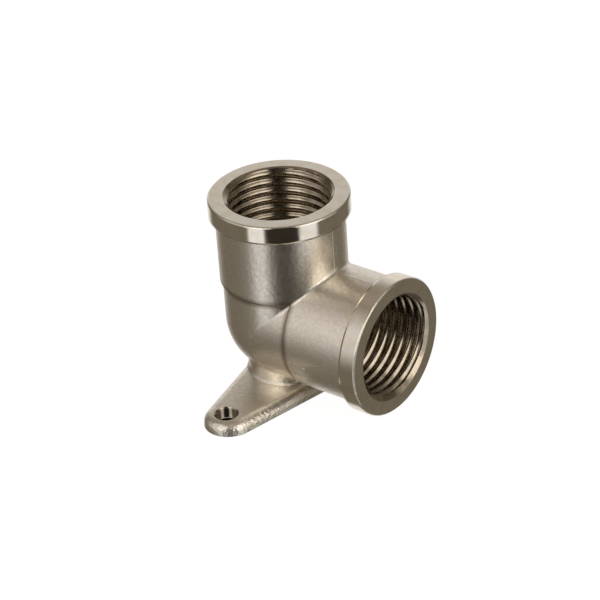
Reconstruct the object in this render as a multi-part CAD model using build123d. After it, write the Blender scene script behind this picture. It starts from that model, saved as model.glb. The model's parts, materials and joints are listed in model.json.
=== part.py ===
from build123d import *
import os
from math import asin, cos, sin

# A wall plate elbow: two threaded sockets at a right angle on a flat plate with two screw lugs.
# It is forged from brass in one piece, then bored, faced and turned.
# The origin is the centre of the plate's back face, in line with the upright socket.
# +Z points up the upright socket, +X along the level socket, and the lugs lie along Y.

# Parallel pipe thread of the half-inch size. The bore is its crest, and the turns aren't cut here.
THREAD_MAJOR = 20.955
THREAD_PITCH = 1.814
THREAD_DEPTH_PER_PITCH = 0.6403
BORE_DEPTH = 14.5
BORE_SHOULDER = 1.3
MOUTH_RELIEF = 0.12

# The sockets, the same on both ports. Their reach is measured from where the two axes cross.
PORT_REACH = 25.0
SOCKET_WALL = 1.52
SOCKET_LENGTH = 17.0
STEP_DEPTH = 0.5
STEP_LENGTH = 0.45
COLLAR_PROUD = 1.15
COLLAR_WIDTH = 3.45
COLLAR_BEVEL = 0.35
MITRE_ROUND = 0.8

# The foot between the heel and the plate, set back from the axis of the upright socket.
FOOT_RADIUS = 7.4
FOOT_SETBACK = 0.7
FOOT_TOP_ROUND = 1.2
FOOT_FLARE = 0.4

# The plate with its two lugs. It clears the underside of the level socket by the gap.
# Its upper edge is rounded down to a low straight land, and each lug's round is centred
# a little nearer to the middle than its screw hole.
PLATE_THICKNESS = 2.4
PLATE_GAP = 0.1
PLATE_MARGIN = 1.35
PLATE_DRAFT = 5.0
PLATE_EDGE_LAND = 0.6
SCREW_SPACING = 39.5
SCREW_HOLE_DIAMETER = 4.2
SCREW_HOLE_EDGE = 0.2
LUG_WALL = 2.75
LUG_SETBACK = 0.85

# Sizes that follow from the ones above.
thread_minor_radius = THREAD_MAJOR / 2 - THREAD_DEPTH_PER_PITCH * THREAD_PITCH
mouth_radius = THREAD_MAJOR / 2 + MOUTH_RELIEF
waterway_radius = thread_minor_radius - BORE_SHOULDER
socket_radius = THREAD_MAJOR / 2 + SOCKET_WALL
body_radius = socket_radius - STEP_DEPTH
collar_radius = socket_radius + COLLAR_PROUD
step_end = PORT_REACH - SOCKET_LENGTH + STEP_LENGTH / 2
step_start = step_end - STEP_LENGTH
axis_height = PLATE_THICKNESS + PLATE_GAP + socket_radius
plate_centre_radius = FOOT_RADIUS + PLATE_MARGIN
plate_top_round = PLATE_THICKNESS - PLATE_EDGE_LAND
lug_radius = SCREW_HOLE_DIAMETER / 2 + LUG_WALL
lug_centre = SCREW_SPACING / 2 - LUG_SETBACK

# The axes cross here, and a port that is drawn about +Z turns over onto +X.
crossing = Pos(0, 0, axis_height)
level = Rot(0, 90, 0)
foot_centre = Pos(-FOOT_SETBACK, 0, 0)


def turned(*corners):
    """A solid of revolution about +Z, from the radius and height of each corner of its outline."""
    return revolve(Plane.XZ * make_face(Polyline(*corners, close=True)), Axis.Z)


def both_ports(shape):
    """The same shape on the upright and on the level port."""
    return crossing * shape + crossing * level * shape


def edges_where(shape, test):
    """The edges of a shape whose points all pass a test."""
    return [edge for edge in shape.edges() if all(test(edge @ t) for t in (0.1, 0.5, 0.9))]


def on_mitre(point):
    """Whether a point lies in the plane where the two ports meet."""
    return abs(point.X - (point.Z - axis_height)) < 0.01


def on_foot_side(point):
    """Whether a point lies on the side of the foot, above the plate."""
    from_centre = Vector(point.X + FOOT_SETBACK, point.Y)
    return abs(from_centre.length - FOOT_RADIUS) < 0.01 and point.Z > PLATE_THICKNESS


def round_elbow(radius):
    """Two plain round ports that share a ball heel."""
    return crossing * Sphere(radius) + both_ports(extrude(Circle(radius), PORT_REACH))


def core():
    """The slimmer part of the elbow, standing on its foot."""
    elbow = round_elbow(body_radius) + foot_centre * extrude(Circle(FOOT_RADIUS), axis_height)
    elbow = fillet(edges_where(elbow, on_foot_side), FOOT_TOP_ROUND)
    return fillet(edges_where(elbow, on_mitre), MITRE_ROUND)


def sockets():
    """The wider ends of both ports, each with its sloped step and its turned collar."""
    elbow = round_elbow(socket_radius)
    elbow = fillet(edges_where(elbow, on_mitre), MITRE_ROUND)
    size = 4 * PORT_REACH
    heel_side = Pos(step_end - size / 2, 0, axis_height + step_end - size / 2) * Box(size, size, size)
    step = turned((0, step_start), (body_radius, step_start), (socket_radius, step_end), (0, step_end))
    collar = turned(
        (0, PORT_REACH - COLLAR_WIDTH),
        (collar_radius, PORT_REACH - COLLAR_WIDTH),
        (collar_radius, PORT_REACH - COLLAR_BEVEL),
        (collar_radius - COLLAR_BEVEL, PORT_REACH),
        (0, PORT_REACH),
    )
    return elbow - heel_side + both_ports(step) + both_ports(collar)


def plate_outline():
    """The plate's outline at its back face: the middle and the two lug ends, joined by tangent sides."""
    slant = asin((plate_centre_radius - lug_radius) / lug_centre)
    middle_x, middle_y = plate_centre_radius * cos(slant), plate_centre_radius * sin(slant)
    end_x, end_y = lug_radius * cos(slant), lug_centre + lug_radius * sin(slant)
    tip = lug_centre + lug_radius
    return make_face([
        ThreePointArc((middle_x, -middle_y), (plate_centre_radius, 0), (middle_x, middle_y)),
        Line((middle_x, middle_y), (end_x, end_y)),
        ThreePointArc((end_x, end_y), (0, tip), (-end_x, end_y)),
        Line((-end_x, end_y), (-middle_x, middle_y)),
        ThreePointArc((-middle_x, middle_y), (-plate_centre_radius, 0), (-middle_x, -middle_y)),
        Line((-middle_x, -middle_y), (-end_x, -end_y)),
        ThreePointArc((-end_x, -end_y), (0, -tip), (end_x, -end_y)),
        Line((end_x, -end_y), (middle_x, -middle_y)),
    ])


def plate():
    """The plate with its drafted sides and its rounded upper edge."""
    blank = extrude(plate_outline(), PLATE_THICKNESS, taper=PLATE_DRAFT)
    return fillet(blank.faces().sort_by(Axis.Z)[-1].outer_wire().edges(), plate_top_round)


def foot_root():
    """The root that spreads from the foot onto the plate."""
    radius = FOOT_RADIUS + FOOT_FLARE
    top = PLATE_THICKNESS + FOOT_FLARE
    return foot_centre * turned(
        (0, 0),
        (radius, 0),
        (radius, PLATE_THICKNESS),
        (FOOT_RADIUS, top),
        (0, top),
    )


def port_bore():
    """The countersink, the thread's bore and the waterway of one port."""
    shoulder = PORT_REACH - BORE_DEPTH
    mouth_depth = mouth_radius - thread_minor_radius
    return turned(
        (0, 0),
        (waterway_radius, 0),
        (waterway_radius, shoulder - BORE_SHOULDER / 2),
        (thread_minor_radius, shoulder),
        (thread_minor_radius, PORT_REACH - mouth_depth),
        (mouth_radius, PORT_REACH),
        (0, PORT_REACH),
    )


def screw_hole():
    """One screw hole with its edges just broken, standing on the plate's back face."""
    radius = SCREW_HOLE_DIAMETER / 2
    wide = radius + SCREW_HOLE_EDGE
    return turned(
        (0, 0),
        (wide, 0),
        (radius, SCREW_HOLE_EDGE),
        (radius, PLATE_THICKNESS - SCREW_HOLE_EDGE),
        (wide, PLATE_THICKNESS),
        (0, PLATE_THICKNESS),
    )


elbow = core() + sockets() + plate() + foot_root()
elbow -= crossing * Sphere(waterway_radius) + both_ports(port_bore())
elbow -= [Pos(0, side * SCREW_SPACING / 2) * screw_hole() for side in (-1, 1)]

os.makedirs("parts", exist_ok=True)
export_step(elbow, "parts/elbow_body.step")
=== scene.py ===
"""The looks of a nickel-plated wall plate elbow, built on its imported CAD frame.

The CAD elbow is copied, and both of its plain bores become threaded sockets. The skin is
blasted, and what a lathe has cut is bright. The frame gives the ports' places and reach, the
bores and the screw holes. The other sizes are listed below.
"""

import json
from collections import namedtuple
from math import atan2, cos, hypot, pi, radians, sin, tan, tau

import bmesh
import bpy
from mathutils import Matrix, Vector


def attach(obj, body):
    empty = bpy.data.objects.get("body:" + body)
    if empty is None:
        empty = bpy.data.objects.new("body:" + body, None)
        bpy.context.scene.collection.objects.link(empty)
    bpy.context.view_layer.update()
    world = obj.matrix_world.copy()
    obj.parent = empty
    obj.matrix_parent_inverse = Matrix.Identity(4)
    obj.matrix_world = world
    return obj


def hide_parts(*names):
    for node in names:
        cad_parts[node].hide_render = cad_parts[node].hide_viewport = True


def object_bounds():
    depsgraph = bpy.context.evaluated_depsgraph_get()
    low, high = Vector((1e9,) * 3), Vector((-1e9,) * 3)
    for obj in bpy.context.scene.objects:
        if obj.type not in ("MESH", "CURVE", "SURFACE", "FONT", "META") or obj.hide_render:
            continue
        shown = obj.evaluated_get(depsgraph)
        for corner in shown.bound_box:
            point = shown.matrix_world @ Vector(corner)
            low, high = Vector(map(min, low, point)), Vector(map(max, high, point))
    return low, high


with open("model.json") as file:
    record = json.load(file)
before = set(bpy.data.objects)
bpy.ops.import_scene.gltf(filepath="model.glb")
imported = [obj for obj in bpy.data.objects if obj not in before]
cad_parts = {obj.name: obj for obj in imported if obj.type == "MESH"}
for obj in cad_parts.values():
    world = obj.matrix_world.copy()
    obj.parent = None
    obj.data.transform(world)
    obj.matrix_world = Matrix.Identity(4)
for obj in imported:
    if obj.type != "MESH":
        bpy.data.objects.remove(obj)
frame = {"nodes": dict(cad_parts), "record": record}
cad_low, cad_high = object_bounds()

MM = 0.001
# Whether a point lies on a face is told with this much play.
NEAR = 0.02 * MM
# Doubled vertices of the CAD mesh lie closer together than this.
WELD = 0.001 * MM

# The half-inch parallel pipe thread, whose crests are the bore. As in the photo, its flanks lean
# further than the standard's and its rounds are larger, as plating and wear have left them.
THREAD_PITCH = 1.814 * MM
FLANK_ANGLE = radians(38)
ROOT_ROUND = 0.3 * MM
CREST_ROUND = 0.65 * MM
# The countersink's radius at the mouth, and how much faster it narrows than it deepens.
COUNTERSINK_RADIUS = 10.3 * MM
COUNTERSINK = 1.5
# The turns fade out over this stretch, before the end of the bore.
RUNOUT_START = 12.3 * MM
RUNOUT_END = 13.9 * MM
# How fine the thread's mesh is: columns round the port, and steps along each root and crest round.
THREAD_COLUMNS = 144
ROUND_STEPS = 4
ROUND_TURNS = [(pi / 2 - FLANK_ANGLE) * k / ROUND_STEPS for k in range(ROUND_STEPS + 1)]
# Turns are numbered from above the mouth to below the bore's end, so that every column is filled.
# A row of the grid keeps this far from both.
FIRST_TURN = -2
SPARE_TURNS = 3
ROW_CLEARANCE = THREAD_PITCH / 40

# The frame's own sizes: the bores from its mounts, and the reach of a port from its box.
mounts = {mount["name"]: mount for mount in frame["record"]["mounts"]}
axis_height = mounts["level_port"]["pos_m"][2]
reach = cad_high.x
crest_radius = mounts["level_port"]["dims"]["r_mm"] * MM
bore_depth = reach - mounts["level_port"]["pos_m"][0] + mounts["level_port"]["dims"]["length_mm"] / 2 * MM
root_radius = crest_radius + (THREAD_PITCH / 2 / tan(FLANK_ANGLE)
                              - (ROOT_ROUND + CREST_ROUND) * (1 / sin(FLANK_ANGLE) - 1))
hole_radius = mounts["screw_holes"]["dims"]["hole_r_mm"] * MM
hole_offset = mounts["screw_holes"]["dims"]["spacing_y_mm"] / 2 * MM

# Sizes of the solid that the frame doesn't state: the turned collars with their bevels, the outside
# of the sockets, the mouth of the bore, the waterway, the screw holes' broken edges and the plate.
COLLAR_WIDTH = 3.45 * MM
COLLAR_BEVEL = 0.35 * MM
COLLAR_RADIUS = 13.1475 * MM
SOCKET_RADIUS = 11.9975 * MM
MOUTH_RADIUS = 10.5975 * MM
WATERWAY_RADIUS = 8.016 * MM
HOLE_EDGE = 0.2 * MM
PLATE_THICKNESS = 2.4 * MM

# A port's own frame has its axis along +Z, from where the axes cross towards its mouth.
# groove_depth is how far below the mouth a groove lies at groove_angle, as the photo shows it.
Port = namedtuple("Port", "name placing groove_angle groove_depth")
crossing = Matrix.Translation((0, 0, axis_height))
turn_level = Matrix(((0, 0, 1), (1, 0, 0), (0, 1, 0))).to_4x4()
UPRIGHT = Port("upright", crossing, radians(95), 2.3 * MM)
LEVEL = Port("level", crossing @ turn_level, radians(-55), 1.08 * MM)
PORTS = (UPRIGHT, LEVEL)

# Between faces of the new sockets, an edge that turns by more than this stays sharp.
SHARP_ANGLE = radians(32)
# The numbers of the mesh's materials, in the order in which they are added to it.
SKIN, THREAD, TURNED_UPRIGHT, TURNED_LEVEL = range(4)
TURNED = {UPRIGHT.name: TURNED_UPRIGHT, LEVEL.name: TURNED_LEVEL}


# The mesh


def in_port(port, point):
    """A point's angle, radius and depth below the mouth in a port's own frame."""
    local = port.placing.inverted() @ point
    return atan2(local.y, local.x) % tau, hypot(local.x, local.y), reach - local.z


def from_port(port, angle, radius, depth):
    """The point in the row frame at an angle, radius and depth of a port."""
    return port.placing @ Vector((radius * cos(angle), radius * sin(angle), reach - depth))


def welded_copy(node):
    """A bmesh of a CAD node with its doubled vertices joined and its exact normals kept in a layer."""
    mesh = frame["nodes"][node].data
    bm = bmesh.new()
    bm.from_mesh(mesh)
    exact = bm.loops.layers.float_vector.new("exact_normal")
    for polygon, face in zip(mesh.polygons, bm.faces):
        for index, loop in zip(polygon.loop_indices, face.loops):
            loop[exact] = mesh.corner_normals[index].vector
    bmesh.ops.remove_doubles(bm, verts=bm.verts, dist=WELD)
    return bm


def open_socket(bm, port):
    """Takes out a port's face and plain bore, and returns the two rings of vertices that are left."""
    def goes(face):
        places = [in_port(port, vert.co) for vert in face.verts]
        on_face = all(abs(depth) < NEAR for _, _, depth in places)
        in_bore = all(radius < MOUTH_RADIUS + NEAR and -NEAR < depth < shoulder_end + NEAR
                      for _, radius, depth in places)
        return on_face or in_bore

    shoulder_end = bore_depth + (crest_radius - WATERWAY_RADIUS) / 2
    bmesh.ops.delete(bm, geom=[face for face in bm.faces if goes(face)], context="FACES")
    rims = {vert for edge in bm.edges if edge.is_boundary for vert in edge.verts}
    placed = sorted((in_port(port, vert.co), vert) for vert in rims)
    outer = [vert for (_, _, depth), vert in placed if abs(depth) < NEAR]
    inner = [vert for (_, radius, depth), vert in placed if radius < MOUTH_RADIUS and abs(depth) > NEAR]
    return outer, inner


def stitch(bm, port, ring_a, ring_b, normal=None):
    """Joins two rings of vertices with triangles. Both are in order of angle, and may differ in number.

    The corners get the normal, or no exact one, and then the shading goes by angle.
    """
    def gap(vert_a, vert_b):
        angle = in_port(port, vert_b.co)[0] - in_port(port, vert_a.co)[0]
        return (angle + pi) % tau - pi

    exact = bm.loops.layers.float_vector["exact_normal"]
    start = min(range(len(ring_b)), key=lambda k: abs(gap(ring_a[0], ring_b[k])))
    ring_b = ring_b[start:] + ring_b[:start]
    first = ring_a[0]
    angles_a = [gap(first, vert) % tau for vert in ring_a] + [tau]
    lead = gap(first, ring_b[0])
    angles_b = [lead + gap(ring_b[0], vert) % tau for vert in ring_b] + [lead + tau]
    i = j = 0
    while i < len(ring_a) or j < len(ring_b):
        a, b = ring_a[i % len(ring_a)], ring_b[j % len(ring_b)]
        if j == len(ring_b) or (i < len(ring_a) and angles_a[i + 1] <= angles_b[j + 1]):
            i += 1
            corners = (a, ring_a[i % len(ring_a)], b)
        else:
            j += 1
            corners = (a, ring_b[j % len(ring_b)], b)
        face = bm.faces.new(corners)
        face.material_index = TURNED[port.name]
        for loop in face.loops:
            loop[exact] = normal or (0, 0, 0)


def thread_profile():
    """Offsets along the axis from a groove's middle, over one pitch, with the thread's radius at each."""
    half = THREAD_PITCH / 2
    root = [(ROOT_ROUND * sin(turn), root_radius - ROOT_ROUND * (1 - cos(turn))) for turn in ROUND_TURNS]
    crest = [(half - CREST_ROUND * sin(turn), crest_radius + CREST_ROUND * (1 - cos(turn)))
             for turn in reversed(ROUND_TURNS)]
    side = root + crest
    return [(-t, radius) for t, radius in reversed(side[1:-1])] + side


def cut_radius(radius, depth):
    """The wall's radius at a depth: the thread's, faded out in a smooth step or cut by the countersink."""
    fade = min(max((RUNOUT_END - depth) / (RUNOUT_END - RUNOUT_START), 0), 1)
    threaded = crest_radius + (radius - crest_radius) * fade * fade * (3 - 2 * fade)
    return max(threaded, COUNTERSINK_RADIUS - depth * COUNTERSINK)


def thread_columns(bm, port):
    """For each angle, the mouth's vertex, the vertices of the turns by number, and the end's vertex."""
    profile = thread_profile()
    last_turn = int(bore_depth / THREAD_PITCH) + SPARE_TURNS
    columns = []
    for column in range(THREAD_COLUMNS):
        angle = tau * column / THREAD_COLUMNS
        climb = THREAD_PITCH * (angle - port.groove_angle) / tau
        rows = {}
        for turn in range(FIRST_TURN, last_turn):
            for phase, (offset, radius) in enumerate(profile):
                depth = port.groove_depth + turn * THREAD_PITCH - climb + offset
                if ROW_CLEARANCE < depth < bore_depth - ROW_CLEARANCE:
                    place = from_port(port, angle, cut_radius(radius, depth), depth)
                    rows[turn * len(profile) + phase] = bm.verts.new(place)
        mouth = bm.verts.new(from_port(port, angle, COUNTERSINK_RADIUS, 0))
        end = bm.verts.new(from_port(port, angle, crest_radius, bore_depth))
        columns.append((mouth, rows, end))
    return columns


def thread_socket(bm, port):
    """Cuts a port's thread: a helical grid of faces from the mouth to the end of the bore."""
    outer, inner = open_socket(bm, port)
    columns = thread_columns(bm, port)
    per_turn = len(thread_profile())
    for column, (mouth, rows, end) in enumerate(columns):
        next_mouth, next_rows, next_end = columns[(column + 1) % THREAD_COLUMNS]
        if column + 1 == THREAD_COLUMNS:
            next_rows = {number + per_turn: vert for number, vert in next_rows.items()}
        shared = sorted(rows.keys() & next_rows.keys())
        above = [rows[n] for n in sorted(rows) if n <= shared[0]]
        next_above = [next_rows[n] for n in sorted(next_rows) if n <= shared[0]]
        below = [rows[n] for n in sorted(rows) if n >= shared[-1]]
        next_below = [next_rows[n] for n in sorted(next_rows) if n >= shared[-1]]
        faces = [[mouth, *above, *reversed(next_above), next_mouth]]
        faces += [[rows[a], rows[b], next_rows[b], next_rows[a]] for a, b in zip(shared, shared[1:])]
        faces += [[*below, end, next_end, *reversed(next_below)]]
        for corners in faces:
            bm.faces.new(corners).material_index = THREAD
    along = port.placing.to_3x3() @ Vector((0, 0, 1))
    stitch(bm, port, outer, [mouth for mouth, _, _ in columns], along)
    stitch(bm, port, inner, [end for _, _, end in columns])


def cut_material(point):
    """Which material the surface has at a point of the CAD elbow."""
    for port in PORTS:
        _, radius, depth = in_port(port, point)
        on_collar = radius > SOCKET_RADIUS + NEAR and depth < COLLAR_WIDTH + NEAR
        in_waterway = radius < WATERWAY_RADIUS + NEAR and depth < reach
        if on_collar or in_waterway:
            return TURNED[port.name]
    if hypot(point.x, abs(point.y) - hole_offset) < hole_radius + HOLE_EDGE + NEAR and point.z > NEAR:
        return THREAD
    in_ball = (point - crossing.translation).length < WATERWAY_RADIUS + NEAR
    return TURNED_UPRIGHT if in_ball else SKIN


def round_bevel(bm, port):
    """Gives the bevel of a port's collar the normals of a round, from the port's side to its face."""
    exact = bm.loops.layers.float_vector["exact_normal"]
    for face in bm.faces:
        places = [in_port(port, loop.vert.co) for loop in face.loops]
        if all(radius > COLLAR_RADIUS - COLLAR_BEVEL - NEAR and depth < COLLAR_BEVEL + NEAR
               for _, radius, depth in places):
            for loop, (angle, _, depth) in zip(face.loops, places):
                side, along = (0, 1) if depth < NEAR else (1, 0)
                loop[exact] = port.placing.to_3x3() @ Vector((side * cos(angle), side * sin(angle), along))


def shade(mesh):
    """Smooth shading: by the exact normals on the CAD's faces, and by angle on those of the sockets."""
    mesh.attributes.remove(mesh.attributes["custom_normal"])
    mesh.shade_smooth()
    mesh.set_sharp_from_angle(angle=SHARP_ANGLE)
    exact = mesh.attributes["exact_normal"]
    mesh.normals_split_custom_set([item.vector for item in exact.data])
    mesh.attributes.remove(mesh.attributes["exact_normal"])


def build_elbow():
    """The elbow's mesh object: the CAD form with threaded sockets and its surfaces sorted by finish."""
    bm = welded_copy("elbow_body")
    for face in bm.faces:
        face.material_index = cut_material(face.calc_center_median())
    for port in PORTS:
        round_bevel(bm, port)
        thread_socket(bm, port)
    bmesh.ops.triangulate(bm, faces=bm.faces)
    bmesh.ops.recalc_face_normals(bm, faces=bm.faces)
    mesh = bpy.data.meshes.new("threaded_elbow")
    bm.to_mesh(mesh)
    bm.free()
    shade(mesh)
    elbow = bpy.data.objects.new("threaded_elbow", mesh)
    bpy.context.scene.collection.objects.link(elbow)
    return elbow


# Materials


class Nodes:
    """Adds nodes to a tree and links them in one go."""

    def __init__(self, tree):
        self.tree = tree
        tree.nodes.clear()

    def add(self, kind, settings=None, **inputs):
        """A node of a kind with its settings and inputs.

        An input goes by its name, or by its number after an underscore. It is a value or an output.
        """
        node = self.tree.nodes.new(kind)
        for name, value in (settings or {}).items():
            setattr(node, name, value)
        for name, value in inputs.items():
            key = int(name[1:]) if name[0] == "_" and name[1:].isdigit() else name.replace("_", " ")
            if isinstance(value, bpy.types.NodeSocket):
                self.tree.links.new(value, node.inputs[key])
            else:
                node.inputs[key].default_value = value
        return node

    def math(self, operation, *values):
        """The output of a maths node."""
        inputs = {f"_{k}": value for k, value in enumerate(values)}
        return self.add("ShaderNodeMath", {"operation": operation}, **inputs).outputs[0]

    def noise(self, vector, scale, detail=2.0, roughness=0.5):
        """The value of a noise texture."""
        node = self.add("ShaderNodeTexNoise", Vector=vector, Scale=scale, Detail=detail, Roughness=roughness)
        return node.outputs["Fac"]

    def ramp(self, value, low, high, out_low=0.0, out_high=1.0):
        """A value carried from one range to another in a smooth step."""
        return self.add("ShaderNodeMapRange", {"interpolation_type": "SMOOTHSTEP"}, _0=value, _1=low,
                        _2=high, _3=out_low, _4=out_high).outputs[0]

    def length(self, side_a, side_b):
        """The distance that two sides at a right angle span."""
        squares = self.math("ADD", self.math("POWER", side_a, 2.0), self.math("POWER", side_b, 2.0))
        return self.math("SQRT", squares)

    def window(self, offset, half_size, edge):
        """One within a half size on either side, none past it, with a smooth edge between."""
        return self.ramp(self.math("ABSOLUTE", offset), half_size - edge, half_size + edge, 1.0, 0.0)

    def along_ports(self, place):
        """The distance from the crossing along whichever port a point of the outside belongs to."""
        return self.math("MAXIMUM", place[0], self.math("SUBTRACT", place[2], axis_height))

    def mix(self, factor, colour_a, colour_b):
        """A mix of two colours."""
        node = self.add("ShaderNodeMix", {"data_type": "RGBA"}, _0=factor, _6=colour_a, _7=colour_b)
        return node.outputs[2]


def new_material(name):
    """A new material, and the helper that adds nodes to its empty tree."""
    material = bpy.data.materials.new(name)
    material.use_nodes = True
    return material, Nodes(material.node_tree)


# Colours of the plated metal, by finish, and the painted shade at the steps and in the tapped turns and
# holes.
NICKEL = (0.89, 0.84, 0.75, 1)
NICKEL_SHADE = (0.78, 0.725, 0.635, 1)
NICKEL_WARM = (0.84, 0.755, 0.62, 1)
# Painted shade: the colour darkens in a band along the foot of each sloped step.
STEP_PAINTED_SHADE = (0.4, 0.345, 0.275, 1)
# The tapped turns and drilled holes: two tones of a random mottle, both darkened as painted shade for the
# inside of the bores and holes.
TAPPED_PAINTED_SHADE_LIGHT = (0.5, 0.435, 0.345, 1)
TAPPED_PAINTED_SHADE_DARK = (0.36, 0.305, 0.235, 1)

# The roughness of each finish at both ends of its noise, and the limits on a noise between
# which a look changes.
SKIN_ROUGHNESS = (0.37, 0.29)
THREAD_ROUGHNESS = (0.12, 0.2)
TURNED_ROUGHNESS = (0.08, 0.14)
MOTTLED = (0.35, 0.65)
EVENLY = (0.3, 0.7)
MOSTLY_PLAIN = (0.45, 0.75)
SMUDGED = (0.4, 0.7)
# The most that the warm stains and the painted shade bands at the steps cover.
WARM_SHARE = 0.5
STEP_SHADE_SHARE = 0.9

# Scales of the noises, in features a metre.
LUMP_SCALE = 1300
GRAIN_SCALE = 3200
KNOCK_SCALE = 1500
PATCH_SCALE = 1500
WARM_SCALE = 130
STAIN_SCALE = 600
SMUDGE_SCALE = 500
RING_SCALE = 9000.0

# Heights of the relief that the skin and the turned metal get.
LUMP_HEIGHT = 0.034 * MM
GRAIN_HEIGHT = 0.028 * MM
KNOCK_HEIGHT = 0.16 * MM
RING_HEIGHT = 0.002 * MM
# The radii to which the shading rounds off edges, and how finely it does.
SKIN_ROUND = 0.3 * MM
TURNED_ROUND = 0.3 * MM
BEVEL_SAMPLES = 4
# The parting line's ridge, which fades in above the heel.
SEAM_HEIGHT = 0.04 * MM
SEAM_HALF_WIDTH = 0.22 * MM
SEAM_START = axis_height + 8 * MM
SEAM_FADE = 1 * MM
# Where the knocks lie: on the side of the plate, which is where the normal leans neither
# straight up nor straight down.
KNOCK_FADE = 0.1 * MM
KNOCK_RISE = 0.05
KNOCK_RISE_HALF = 0.86
KNOCK_RISE_EDGE = 0.06
# The band of painted shade: how far from the crossing a sloped step lies, and how far to both sides of it
# the band is full and then gone.
STEP_PLACE = 8 * MM
STEP_BAND = 0.25 * MM
STEP_SPREAD = 1.3 * MM
# A slope at the inner end of each collar, and how far it rises.
COLLAR_EDGE = 0.35 * MM
COLLAR_EDGE_RELIEF = 0.12 * MM
# A casting pit on the level port, low on the side that the photo shows.
PIT_PLACE = (12.75 * MM, -11.77 * MM, 12.2 * MM)
PIT_RADIUS = 0.45 * MM
PIT_DEPTH = 0.15 * MM


def skin_material():
    """Blasted and plated forging skin: fine grain over soft lumps, in patches of different shine.

    It has a parting line, a casting pit, knocks on the plate's side and a band of painted shade at each
    step.
    """
    material, nodes = new_material("blasted_nickel")
    place = nodes.add("ShaderNodeTexCoord").outputs["Object"]
    split = nodes.add("ShaderNodeSeparateXYZ", _0=place).outputs

    facing = nodes.add("ShaderNodeNewGeometry").outputs["True Normal"]
    upward = nodes.add("ShaderNodeSeparateXYZ", _0=facing).outputs[2]
    on_plate = nodes.ramp(split[2], PLATE_THICKNESS - KNOCK_FADE, PLATE_THICKNESS, 1.0, 0.0)
    sideways = nodes.window(nodes.math("SUBTRACT", upward, KNOCK_RISE), KNOCK_RISE_HALF, KNOCK_RISE_EDGE)
    on_edge = nodes.math("MULTIPLY", on_plate, sideways)
    knocks = nodes.noise(place, KNOCK_SCALE, roughness=0.6)

    seam = nodes.ramp(nodes.math("ABSOLUTE", split[1]), 0.0, SEAM_HALF_WIDTH, SEAM_HEIGHT, 0.0)
    seam = nodes.math("MULTIPLY", seam, nodes.ramp(split[2], SEAM_START, SEAM_START + SEAM_FADE))
    from_pit = nodes.add("ShaderNodeVectorMath", {"operation": "DISTANCE"}, _0=place, _1=PIT_PLACE)
    pit = nodes.ramp(from_pit.outputs["Value"], 0.0, PIT_RADIUS, -PIT_DEPTH, 0.0)

    height = nodes.math("MULTIPLY_ADD", nodes.noise(place, LUMP_SCALE), LUMP_HEIGHT, seam)
    height = nodes.math("MULTIPLY_ADD", nodes.noise(place, GRAIN_SCALE), GRAIN_HEIGHT, height)
    height = nodes.math("MULTIPLY_ADD", nodes.math("MULTIPLY", knocks, on_edge), KNOCK_HEIGHT, height)
    height = nodes.math("ADD", height, pit)
    rounded = nodes.add("ShaderNodeBevel", {"samples": BEVEL_SAMPLES}, Radius=SKIN_ROUND).outputs[0]
    bump = nodes.add("ShaderNodeBump", Strength=1.0, Distance=1.0, Height=height, Normal=rounded)

    patches = nodes.noise(place, PATCH_SCALE, 3, 0.6)
    warmth = nodes.ramp(nodes.noise(place, WARM_SCALE, 3), *MOSTLY_PLAIN, 0.0, WARM_SHARE)
    # Painted shade: the colour darkens in a band along each sloped step.
    from_step = nodes.math("ABSOLUTE", nodes.math("SUBTRACT", nodes.along_ports(split), STEP_PLACE))
    step_painted_shade = nodes.ramp(from_step, STEP_BAND, STEP_SPREAD, STEP_SHADE_SHARE, 0.0)
    colour = nodes.mix(nodes.ramp(patches, *MOTTLED), NICKEL_SHADE, NICKEL)
    colour = nodes.mix(warmth, colour, NICKEL_WARM)
    colour = nodes.mix(step_painted_shade, colour, STEP_PAINTED_SHADE)
    roughness = nodes.ramp(patches, *EVENLY, *SKIN_ROUGHNESS)
    shader = nodes.add("ShaderNodeBsdfPrincipled", Base_Color=colour, Metallic=1.0, Roughness=roughness,
                       Normal=bump.outputs[0])
    nodes.add("ShaderNodeOutputMaterial", Surface=shader.outputs[0])
    return material


def thread_material():
    """Tapped turns and drilled holes: plated, rougher than what the lathe cut, and darker as painted shade
    for the inside of the bores and holes.
    """
    material, nodes = new_material("tapped_nickel_painted_shade")
    place = nodes.add("ShaderNodeTexCoord").outputs["Object"]
    stains = nodes.noise(place, STAIN_SCALE, 3)
    # Painted shade: both tones are darkened for the inside of the bores and holes.
    colour = nodes.mix(nodes.ramp(stains, *MOTTLED), TAPPED_PAINTED_SHADE_DARK, TAPPED_PAINTED_SHADE_LIGHT)
    roughness = nodes.ramp(stains, *EVENLY, *THREAD_ROUGHNESS)
    shader = nodes.add("ShaderNodeBsdfPrincipled", Base_Color=colour, Metallic=1.0, Roughness=roughness)
    nodes.add("ShaderNodeOutputMaterial", Surface=shader.outputs[0])
    return material


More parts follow.
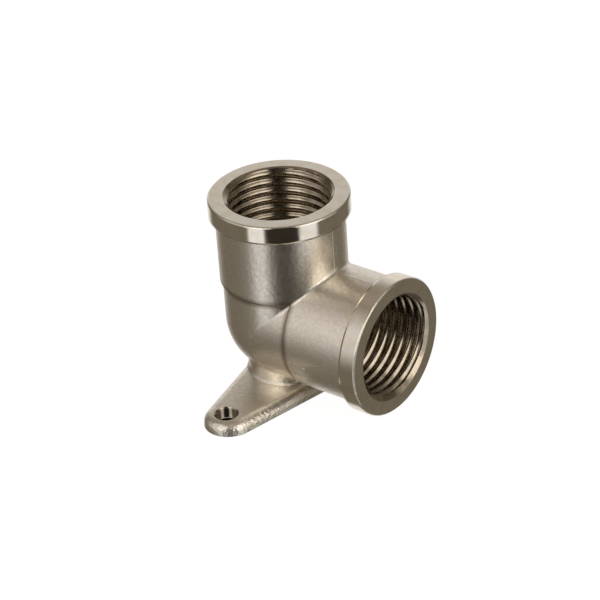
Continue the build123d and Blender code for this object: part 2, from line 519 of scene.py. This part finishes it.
def turned_material(port):
    """Bright plated metal with the fine rings that a lathe leaves round a port's axis."""
    material, nodes = new_material(f"turned_nickel_{port.name}")
    place = nodes.add("ShaderNodeTexCoord").outputs["Object"]
    to_port = port.placing.inverted()
    local = nodes.add("ShaderNodeMapping", Vector=place, Location=to_port.translation,
                      Rotation=to_port.to_euler()).outputs[0]
    split = nodes.add("ShaderNodeSeparateXYZ", _0=local).outputs
    # The sum of radius and height changes both across a face and along a collar.
    ring = nodes.math("ADD", nodes.length(split[0], split[1]), split[2])
    rings = nodes.add("ShaderNodeTexNoise", {"noise_dimensions": "1D"}, W=ring, Scale=RING_SCALE, Detail=3.0)
    collar_start = reach - COLLAR_WIDTH
    edge = nodes.ramp(split[2], collar_start, collar_start + COLLAR_EDGE, 0.0, COLLAR_EDGE_RELIEF)
    height = nodes.math("MULTIPLY_ADD", rings.outputs["Fac"], RING_HEIGHT, edge)
    rounded = nodes.add("ShaderNodeBevel", {"samples": BEVEL_SAMPLES}, Radius=TURNED_ROUND).outputs[0]
    bump = nodes.add("ShaderNodeBump", Strength=1.0, Distance=1.0, Height=height, Normal=rounded)
    smudges = nodes.noise(place, SMUDGE_SCALE, 3)
    colour = nodes.mix(nodes.ramp(smudges, *SMUDGED), NICKEL, NICKEL_WARM)
    roughness = nodes.ramp(smudges, *EVENLY, *TURNED_ROUGHNESS)
    shader = nodes.add("ShaderNodeBsdfPrincipled", Base_Color=colour, Metallic=1.0, Roughness=roughness,
                       Normal=bump.outputs[0])
    nodes.add("ShaderNodeOutputMaterial", Surface=shader.outputs[0])
    return material


# The studio


# To the camera, this share of the floor is its own white glow, so that the shadow on it stays soft.
# Inside the screw holes the floor is painted dark as shade and has no glow.
FLOOR_SHARE = 0.8
FLOOR_GLOW = 1.18
FLOOR_SIZE = 3.0
FLOOR_PALE = (0.85, 0.85, 0.85, 1)
FLOOR_PAINTED_HOLE_SHADE = (0.09, 0.08, 0.065, 1)


def build_floor():
    """A floor that looks white from above, keeps a soft shadow, has painted shade under the screw holes, and
    can be seen through from below.
    """
    mesh = bpy.data.meshes.new("floor")
    bm = bmesh.new()
    bmesh.ops.create_grid(bm, x_segments=1, y_segments=1, size=FLOOR_SIZE)
    bm.to_mesh(mesh)
    bm.free()
    floor = bpy.data.objects.new("floor", mesh)
    floor.location.z = -NEAR
    floor.visible_glossy = False
    bpy.context.scene.collection.objects.link(floor)

    material, nodes = new_material("floor_white")
    place = nodes.add("ShaderNodeTexCoord").outputs["Object"]
    split = nodes.add("ShaderNodeSeparateXYZ", _0=place).outputs
    # Painted shade: under the screw holes the floor turns dark and stops glowing.
    aside = nodes.math("SUBTRACT", nodes.math("ABSOLUTE", split[1]), hole_offset)
    from_hole = nodes.length(split[0], aside)
    outside_painted_hole_shade = nodes.ramp(from_hole, hole_radius + HOLE_EDGE, hole_radius + 2 * HOLE_EDGE)
    glow = nodes.math("MULTIPLY", outside_painted_hole_shade, FLOOR_GLOW)
    diffuse = nodes.add("ShaderNodeBsdfDiffuse", Color=nodes.mix(outside_painted_hole_shade, FLOOR_PAINTED_HOLE_SHADE, FLOOR_PALE))
    white = nodes.add("ShaderNodeEmission", Color=(1, 1, 1, 1), Strength=glow)
    seen = nodes.add("ShaderNodeLightPath").outputs["Is Camera Ray"]
    share = nodes.math("MULTIPLY", seen, FLOOR_SHARE)
    mixed = nodes.add("ShaderNodeMixShader", _0=share, _1=diffuse.outputs[0], _2=white.outputs[0])
    below = nodes.add("ShaderNodeNewGeometry").outputs["Backfacing"]
    clear = nodes.add("ShaderNodeBsdfTransparent")
    one_sided = nodes.add("ShaderNodeMixShader", _0=below, _1=mixed.outputs[0], _2=clear.outputs[0])
    nodes.add("ShaderNodeOutputMaterial", Surface=one_sided.outputs[0])
    mesh.materials.append(material)


# Each panel is a soft-edged window of light or of dark in the world, with its angles in degrees.
# Azimuth 0 is towards -Y, and 90 is along +X.
Panel = namedtuple("Panel", "name azimuth elevation half_width half_height side_edge end_edge colour")
ROOM = (0.16, 0.14, 0.109, 1)
HALF_TURN = 180.0
PANELS = (
    Panel("ceiling", 0, 90, 200, 45, 1, 12, (0.29, 0.25, 0.205, 1)),
    Panel("back_wall", -141, -20, 31, 52, 12, 22, (0.81, 0.78, 0.75, 1)),
    Panel("soft_box", -28, 22, 37, 27, 14, 20, (0.68, 0.64, 0.62, 1)),
    Panel("right_wall", 104, 20, 28, 34, 10, 12, (0.6, 0.56, 0.5, 1)),
    Panel("front_gap_high", 43, 35, 28, 50, 3, 8, (0.025, 0.02, 0.015, 1)),
    Panel("left_window", -2, -5, 13.5, 62, 2.5, 10, (0.853, 0.848, 0.853, 1)),
    Panel("right_window", 80, -5, 19, 62, 3, 10, (0.853, 0.848, 0.853, 1)),
    Panel("left_glare", 0, 34, 18, 24, 6, 10, (1.6, 1.54, 1.46, 1)),
    Panel("right_glare", 84, 20, 22, 18, 4, 6, (1.9, 1.8, 1.68, 1)),
    Panel("right_glare_top", 90, 46, 16, 12, 4, 6, (1.5, 1.42, 1.35, 1)),
    Panel("front_gap_low", 41, -38, 27, 36, 3, 5, (0.03, 0.025, 0.02, 1)),
)


def build_world():
    """A dim warm room with soft light panels. The camera itself sees plain white."""
    world = bpy.data.worlds.new("studio")
    bpy.context.scene.world = world
    world.use_nodes = True
    nodes = Nodes(world.node_tree)
    direction = nodes.add("ShaderNodeTexCoord").outputs["Generated"]
    split = nodes.add("ShaderNodeSeparateXYZ", _0=direction).outputs
    to_front = nodes.math("MULTIPLY", split[1], -1.0)
    azimuth = nodes.math("MULTIPLY", nodes.math("ARCTAN2", split[0], to_front), HALF_TURN / pi)
    elevation = nodes.math("MULTIPLY", nodes.math("ARCSINE", split[2]), HALF_TURN / pi)
    colour = nodes.add("ShaderNodeRGB").outputs[0]
    colour.default_value = ROOM
    for panel in PANELS:
        turned = nodes.math("SUBTRACT", azimuth, float(panel.azimuth))
        turned = nodes.math("WRAP", turned, HALF_TURN, -HALF_TURN)
        raised = nodes.math("SUBTRACT", elevation, float(panel.elevation))
        across = nodes.window(turned, panel.half_width, panel.side_edge)
        upward = nodes.window(raised, panel.half_height, panel.end_edge)
        colour = nodes.mix(nodes.math("MULTIPLY", across, upward), colour, panel.colour)
        colour.node.label = panel.name
    lit = nodes.add("ShaderNodeBackground", Color=colour, Strength=1.0)
    plain = nodes.add("ShaderNodeBackground", Color=(1, 1, 1, 1), Strength=1.0)
    seen = nodes.add("ShaderNodeLightPath").outputs["Is Camera Ray"]
    mixed = nodes.add("ShaderNodeMixShader", _0=seen, _1=lit.outputs[0], _2=plain.outputs[0])
    nodes.add("ShaderNodeOutputWorld", Surface=mixed.outputs[0])


# The camera, as fitted to the photo: where it stands from the crossing of the axes, which way
# it looks, and its lens and sensor in millimetres.
CAMERA_PLACE = Vector((262.7, -318.7, 249.3)) * MM
CAMERA_AZIMUTH = radians(39.149)
CAMERA_ELEVATION = radians(30.914)
CAMERA_ROLL = radians(-4.036)
CAMERA_LENS = 154.78
SENSOR_WIDTH = 36
CLIP_START = 10 * MM


def build_camera():
    """The camera at the photo's viewpoint."""
    data = bpy.data.cameras.new("camera")
    data.lens = CAMERA_LENS
    data.sensor_width = SENSOR_WIDTH
    data.clip_start = CLIP_START
    camera = bpy.data.objects.new("camera", data)
    bpy.context.scene.collection.objects.link(camera)
    looking = (Matrix.Rotation(CAMERA_AZIMUTH, 4, "Z") @ Matrix.Rotation(pi / 2 - CAMERA_ELEVATION, 4, "X")
               @ Matrix.Rotation(CAMERA_ROLL, 4, "Z"))
    camera.matrix_world = crossing @ Matrix.Translation(CAMERA_PLACE) @ looking
    bpy.context.scene.camera = camera


elbow = build_elbow()
elbow.data.materials.append(skin_material())
elbow.data.materials.append(thread_material())
for port in PORTS:
    elbow.data.materials.append(turned_material(port))
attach(elbow, "root")
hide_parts("elbow_body")

build_floor()
build_world()
build_camera()
bpy.context.scene.view_settings.view_transform = "Standard"
